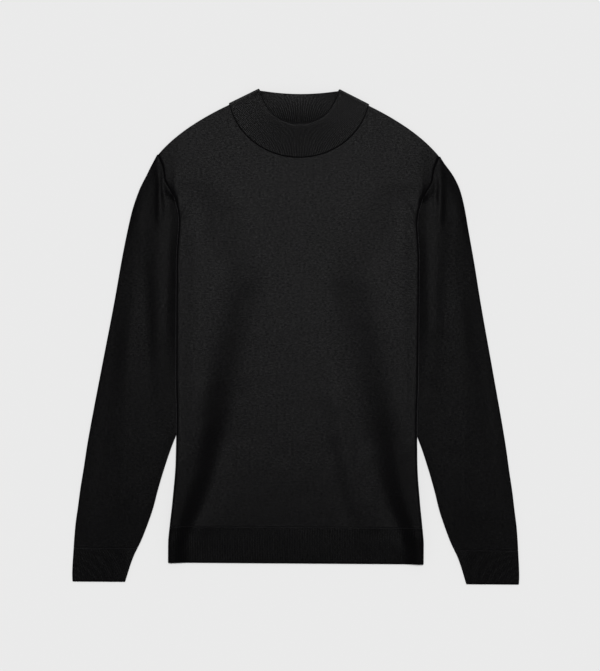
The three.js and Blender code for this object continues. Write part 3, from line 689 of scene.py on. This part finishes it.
def sleeve_loft(hand, x, y, share):
    """How far the sleeve's upper wall stands off its lower one. It comes down to both folds, to
    the body's folded side and to the cuff."""
    side = body_side(y)
    from_body = x - side.fold - SLEEVE_LOFT_EDGE.clear
    beside = eased(from_body / SLEEVE_LOFT_EDGE.body)
    outer = mixed(OUTER_FALL.low, OUTER_FALL.high, smooth((y - OUTER_FALL.from_y) / OUTER_FALL.over))
    inside = eased(share / SLEEVE_LOFT_EDGE.inner) * eased((1 - share) / outer)
    from_cuff = smooth((y - CUFF_EDGE_Y + SLEEVE_LOFT_EDGE.past_cuff) / SLEEVE_LOFT_EDGE.cuff)
    ripple = uneven(x, y, seed=11 + hand, reach=(26, 70), high=0.06)
    loft = read(SLEEVE_LOFT, "high", y) + crease_height(SLEEVE_CREASES[hand], x, y) + ripple
    return np.maximum(0, loft) * beside * inside * from_cuff


def cap_height(y):
    """How far the body's edge stands above a sleeve pressed flat, where they meet at the armhole."""
    side = body_side(y)
    fall = side.radius * (1 - np.cos(side.turn)) + side.tuck * np.sin(side.turn)
    lift = 2 * LAYER * side.prop + side.rise - fall
    return lift * smooth((y - CAP_RISE.foot_y) / CAP_RISE.over)


def sleeve_surface(hand, place, ring, out, normal):
    """Moved out from the middle of the flattened tube, on top, beneath or round its folds."""
    angle = np.radians(ring.turn)
    radius = LAYER / 2 + out
    outward = np.where(np.abs(ring.turn) % 180 == 0, 0, np.sin(angle)) * radius
    z = PAIR_MIDDLE + np.cos(angle) * radius + place.loft
    lean = CAP_LEAN.high * np.exp(-((place.y - CAP_LEAN.y) / CAP_LEAN.spread) ** 2) * place.lean
    x = hand * (place.x + outward * normal[0]) + lean
    return np.stack([x, place.y + outward * normal[1], z], -1)


def ring_normal(ring, y):
    """The way out at each point round the sleeve, from the edge that it belongs to."""
    inner, outer = edge_normal("inner", y), edge_normal("outer", y)
    return [np.where(ring.share == 0, inner[k], outer[k]) for k in (0, 1)]


def seam_edge(ring):
    """Thins both walls to nothing where they meet along the underarm seam."""
    turned = np.minimum(np.abs(ring.turn), 180 - np.abs(ring.turn))
    from_seam = np.where(ring.share == 0, SEAM_TURN - turned, 90)
    return rolled(np.radians(from_seam) * LAYER / 2, SEWN)


def sleeve(name, hand):
    """A sleeve pressed flat, from the armhole seam to the cuff seam."""
    fold = np.linspace(0, 180, 11)[1:-1]
    ring = sleeve_ring(np.linspace(0, 1, TOP_LANES), fold, np.linspace(1, 0, UNDER_LANES))
    along = np.linspace(0, 1, SLEEVE_ROWS) ** 1.1
    close = np.array([0.0006, 0.0015, 0.003, 0.005])
    along = np.concatenate([[0], close, along[1:-1], 1 - close[::-1], [1]])
    along = np.sort(along)[:, None]
    inner_x, inner_y = sleeve_edge("inner", UNDERARM_Y, along)
    outer_x, outer_y = sleeve_edge("outer", SHOULDER_POINT.y, along)
    cap_x, cap_y = armhole_place(ring.share)
    low, high = armhole_place(np.array(0.0)), armhole_place(np.array(1.0))
    from_line = [cap_x - mixed(low[0], high[0], ring.share), cap_y - mixed(low[1], high[1], ring.share)]
    x = mixed(inner_x, outer_x, ring.share) + (1 - along) * from_line[0]
    y = mixed(inner_y, outer_y, ring.share) + (1 - along) * from_line[1]
    x = x - ARMHOLE_LAP.wide * smooth(1 - along / ARMHOLE_LAP.reach)
    loft = np.where(ring.turn == 0, sleeve_loft(hand, x, y, ring.share), 0)
    run = mixed(SLEEVE_RUN.underarm, SLEEVE_RUN.fold, ring.share)
    above_foot = y - SEWN_TO_SLEEVE.foot_y
    near_cap = smooth(1 - along * run / CAP_BLEND) * smooth(above_foot / SEWN_TO_SLEEVE.rise)
    loft = mixed(loft, cap_height(y), near_cap)
    sewn_down = seam_dip(along * run) * smooth(above_foot / SEWN_TO_SLEEVE.dip)
    loft = loft - (ring.turn == 0) * sewn_down
    lean = ring.share * smooth(along / CAP_LEAN.reach)
    place = SimpleNamespace(x=x, y=y, loft=loft, lean=lean)
    normal = ring_normal(ring, y)
    normal[1] = normal[1] * smooth((y - CUFF_SEAM_Y) / CUFF_STRAIGHT)
    half = CLOTH / 2 * rolled(np.minimum(along, 1 - along) * run, SEWN) * seam_edge(ring)
    girth = np.where(np.abs(ring.turn) > 90, 2 * read(SLEEVE, "outer", y) - x, x)
    cut = np.stack([girth, y], -1)
    outer = sleeve_surface(hand, place, ring, half, normal)
    inner = sleeve_surface(hand, place, ring, -half, normal)
    return cloth_wall(name, outer, inner, cut)


# The sleeves take a darker copy of the body's jersey: the same yarn, with painted shade in its colour and
# less gloss, so they come out darker than the body.
SLEEVE_SHADED_CHARCOAL = (0.0014, 0.00134, 0.00149)
shaded_sleeve_jersey = knit_material("sleeve jersey painted shade", SLEEVE_SHADED_CHARCOAL, JERSEY_WALE, JERSEY_DEPTH, gloss=0.021)
for hand, side_name in ((-1, "right"), (1, "left")):
    piece = sleeve(f"sleeve_{side_name}_knit", hand)
    dress(piece, shaded_sleeve_jersey, f"sleeve_{side_name}")

# Cuffs: rib bands sewn to the sleeve ends, narrowing a little to the wrist.
CUFF_RIB = 2.5
# How deep the grooves are beneath, where the cuff lies on the ground.
CUFF_GROOVED = 0.5


def cuff(name, hand):
    """A cuff pressed flat with its sleeve, from the seam to its open edge."""
    width = read(SLEEVE, "outer", CUFF_SEAM_Y) - read(SLEEVE, "inner", CUFF_SEAM_Y)
    ribs = round(float(width) / CUFF_RIB)
    across = np.linspace(0, 1, ribs * RIB_STEPS + 1)
    ring = sleeve_ring(across, np.linspace(0, 180, 9)[1:-1], across[::-1])
    y = near_edges(CUFF_SEAM_Y, CUFF_EDGE_Y, **BAND_ROWS)[:, None]
    inner_x, outer_x = read(SLEEVE, "inner", y), read(SLEEVE, "outer", y) - PAIR_MIDDLE
    x = mixed(inner_x, outer_x, ring.share)
    loft = np.where(ring.turn == 0, sleeve_loft(hand, x, y, ring.share), 0)
    place = SimpleNamespace(x=x, y=y + 0 * x, loft=loft, lean=0)
    full = rolled(y[0] - y, SEWN) * rolled(y - y[-1], OPEN) * seam_edge(ring)
    half = CLOTH / 2 * full
    wave = rib_wave(ring.share * ribs) * full
    upper = half + np.where(ring.turn == 0, wave * RIB_HEIGHT * FRONT_RIBBED, 0)
    upper = upper - np.where(ring.turn == 180, (1 - wave) * RIB_HEIGHT * CUFF_GROOVED * full, 0)
    normal = (1.0, 0.0)
    girth = np.where(ring.turn > 90, 2 - ring.share, ring.share) * (outer_x - inner_x)
    cut = np.stack([girth, y + 0 * x], -1)
    outer = sleeve_surface(hand, place, ring, upper, normal)
    inner = sleeve_surface(hand, place, ring, -half, normal)
    return cloth_wall(name, outer, inner, cut)


for hand, side_name in ((-1, "right"), (1, "left")):
    piece = cuff(f"cuff_{side_name}_rib", hand)
    dress(piece, rib_knit, f"cuff_{side_name}")

# Collar: a rib band folded double, so that its rim is a fold, and sewn round the neckline. It
# lies with its front raised a little over the inside of its back.
COLLAR_WALL = 3.0
COLLAR_DEPTH = 51.0
# The neck seam and the side folds as seen from above, and the line of the front rim.
COLLAR_SEAM = SimpleNamespace(wide=105.6, deep=99.4, length=296.0, clear=0.45)
COLLAR_SIDE = SimpleNamespace(seam_x=102.9, seam_y=346.2, rim_x=58.6, rim_y=368.5)
COLLAR_RIM_FRONT = table("x y", [
    (0, 319.6),
    (11.5, 319.9),
    (23, 323.7),
    (34.5, 329.6),
    (45.7, 341.6),
    (53.2, 354.4),
    (58.6, 368.5),
])
COLLAR_RIM_BACK_DIP = 5.5
# How high the collar stands: at its sides, at the front's rim and seam, and at the back's rim.
COLLAR_HEIGHT = SimpleNamespace(side=4.8, rim_rise=3.0, seam_sink=1.2, back_rise=5.6, back_curve=1.7)
# The front's rim bends down a little over its last stretch.
COLLAR_RIM_BEND = SimpleNamespace(deep=0.6, share=0.11)
COLLAR_RIB = 2.77
COLLAR_RIB_DEPTH = 0.12
# Ribs round each side fold, and the share of the front's ribs that the shorter back has.
SIDE_RIBS, BACK_RIBS = 3, 0.77
# Rib height by the seam and by the rim, and how much less the ribs stand up on the inside.
RIBS_STAND = SimpleNamespace(seam=1.1, rim=0.8, inside=0.9)
# Past this turn of the side folds the ribs are those of the back.
TURNED_UNDER = 100
# How far the band laps past the neck seam.
COLLAR_LAP = 1.5
# How sharply the back's seam line turns up to the side fold at its two ends.
BACK_END_TURN = 24


def collar_plan(across, rise, front):
    """Where the collar lies as seen from above: from its seam, rise 0, to its rim, rise 1."""
    seam_angle = math.asin(COLLAR_SIDE.seam_x / COLLAR_SEAM.wide) * np.abs(across)
    seam_x = COLLAR_SEAM.wide * np.sin(seam_angle)
    share = seam_x / COLLAR_SIDE.seam_x
    rim_x = COLLAR_SIDE.rim_x * share
    front_seam = FRONT_NECK.centre_y - COLLAR_SEAM.deep * np.cos(seam_angle)
    back_end = COLLAR_SIDE.seam_y - back_neck_y(COLLAR_SIDE.seam_x) - COLLAR_SEAM.clear
    back_seam = back_neck_y(seam_x) + COLLAR_SEAM.clear + back_end * share ** BACK_END_TURN
    front_rim = read(COLLAR_RIM_FRONT, "y", rim_x, "x")
    back_rim = COLLAR_SIDE.rim_y - COLLAR_RIM_BACK_DIP * (1 - share ** 2)
    x = np.sign(across) * mixed(seam_x, rim_x, rise)
    seam, rim = np.where(front, front_seam, back_seam), np.where(front, front_rim, back_rim)
    return x, mixed(seam, rim, rise)


def collar_surface(ring, rise, out):
    """Moved out from the middle of the collar's wall: its raised front, its side folds, its back."""
    x, y = collar_plan(ring.across, rise, ring.front)
    opened = 1 - ring.across ** 2
    top = COLLAR_HEIGHT.side + opened * mixed(-COLLAR_HEIGHT.seam_sink, COLLAR_HEIGHT.rim_rise, rise)
    by_rim = np.clip(1 + (rise - 1) / COLLAR_RIM_BEND.share, 0, 1)
    top = top - COLLAR_RIM_BEND.deep * by_rim ** 2
    below = COLLAR_WALL / 2
    radius = (COLLAR_HEIGHT.side - below) / 2
    angle = np.radians(ring.turn)
    run_x = COLLAR_SIDE.rim_x - COLLAR_SIDE.seam_x
    run_y = COLLAR_SIDE.rim_y - COLLAR_SIDE.seam_y
    length = math.hypot(run_x, run_y)
    turned = (ring.turn > 0) & (ring.turn < 180)
    outward = np.where(turned, np.sin(angle) * (radius + out), 0)
    x = x + np.sign(ring.across) * outward * (run_y / length)
    y = y + outward * (-run_x / length)
    back_share = 1 - (1 - np.maximum(rise, 0)) ** COLLAR_HEIGHT.back_curve
    back_mid = below + opened * COLLAR_HEIGHT.back_rise * back_share
    flat = np.where(ring.front, top + out, back_mid - out)
    z = np.where(turned, below + radius + np.cos(angle) * (radius + out), flat)
    return np.stack([x, y, z], -1)


def collar(name):
    """The doubled band, closed all round, with its ribs on the outside and inside."""
    front_ribs = round(COLLAR_SEAM.length / COLLAR_RIB)
    back_ribs = round(BACK_RIBS * front_ribs)
    front = np.linspace(-1, 1, front_ribs * RIB_STEPS + 1)
    back = np.linspace(1, -1, back_ribs * RIB_STEPS + 1)
    side = np.linspace(0, 180, 13)[1:-1]
    ring = SimpleNamespace(
        across=np.concatenate([front, 0 * side + 1, back, 0 * side - 1]),
        turn=np.concatenate([0 * front, side, 0 * back + 180, side[::-1]]),
        front=np.concatenate([front < 2, side > 0, back > 2, side > 0]),
        rib=np.concatenate([(front + 1) / 2 * front_ribs, side / 180 * SIDE_RIBS,
                            (1 - back) / 2 * back_ribs, side / 180 * SIDE_RIBS]),
    )
    seam_close = np.array([0, 0.3, 0.8, 1.5, 2.4, 3.6])
    rim_close = np.array([2.2, 1.5, 1.1, 0.75, 0.45, 0.2, 0.05, 0])
    between = np.linspace(6, COLLAR_DEPTH - 4, 16)
    distance = np.concatenate([seam_close, between, COLLAR_DEPTH - rim_close])[:, None]
    rise = (distance * (COLLAR_DEPTH + COLLAR_LAP) / COLLAR_DEPTH - COLLAR_LAP) / COLLAR_DEPTH
    from_seam = rolled(distance, COLLAR_WALL / 2)
    from_rim = rolled(COLLAR_DEPTH - distance, COLLAR_WALL / 2)
    half = COLLAR_WALL / 2 * np.minimum(from_seam, from_rim)
    height = RIB_HEIGHT * mixed(RIBS_STAND.seam, RIBS_STAND.rim, rise) * np.minimum(from_seam, from_rim)
    wave = rib_wave(ring.rib) * height
    on_top = ring.turn < TURNED_UNDER
    outer = collar_surface(ring, rise, half + np.where(on_top, wave, wave - height))
    inner = collar_surface(ring, rise, -half - (wave - height) * RIBS_STAND.inside)
    girth = np.concatenate([ring.rib, [ring.rib[0]]]) * COLLAR_RIB
    cut = np.stack(np.broadcast_arrays(girth, distance + 0 * girth), -1)
    return cloth_wall(name, outer, inner, cut, closed=True)


collar_knit = knit_material("charcoal collar rib", CHARCOAL, COLLAR_RIB, COLLAR_RIB_DEPTH, gloss=0.082)
collar_band = collar("collar_rib")
dress(collar_band, collar_knit, "collar")

# Ground: the plain pale surface that the garment lies on.
ground_mesh = bpy.data.meshes.new("ground")
GROUND_REACH = 6.0
corners = [(GROUND_REACH * x, GROUND_REACH * y, 0) for x, y in ((-1, -1), (1, -1), (1, 1), (-1, 1))]
ground_mesh.from_pydata(corners, [], [(0, 1, 2, 3)])
ground = bpy.data.objects.new("ground", ground_mesh)
bpy.context.scene.collection.objects.link(ground)
paper = bpy.data.materials.new("pale ground")
paper.use_nodes = True
paper_shader = paper.node_tree.nodes["Principled BSDF"]
paper_shader.inputs["Base Color"].default_value = (0.8, 0.8, 0.8, 1)
paper_shader.inputs["Roughness"].default_value = 0.95
paper_shader.inputs["Specular IOR Level"].default_value = 0.0
ground_mesh.materials.append(paper)

# Light: dim and even from all round, with a high key that comes from a little beyond the neck, so
# the nap shines most on the chest and less towards the hem.
world = bpy.data.worlds.new("studio")
bpy.context.scene.world = world
world.use_nodes = True
world.node_tree.nodes["Background"].inputs["Color"].default_value = (1, 1, 1, 1)
world.node_tree.nodes["Background"].inputs["Strength"].default_value = 0.15
key_lamp = bpy.data.lights.new("key", "SUN")
key_lamp.energy = 2.84
key_lamp.angle = math.radians(16)
key_light = bpy.data.objects.new("key", key_lamp)
key_light.rotation_euler = (math.radians(-13), 0, 0)
bpy.context.scene.collection.objects.link(key_light)

# Camera: straight above, a little turned, as the garment lies in its picture.
camera_data = bpy.data.cameras.new("camera")
camera_data.lens = 85.0
camera_data.sensor_width = 36.0
camera = bpy.data.objects.new("camera", camera_data)
camera.location = (0.0039, 0.0012, 2.3805)
camera.rotation_euler = (0, 0, 0.007)
bpy.context.scene.collection.objects.link(camera)
bpy.context.scene.camera = camera
bpy.context.scene.view_settings.view_transform = "Standard"
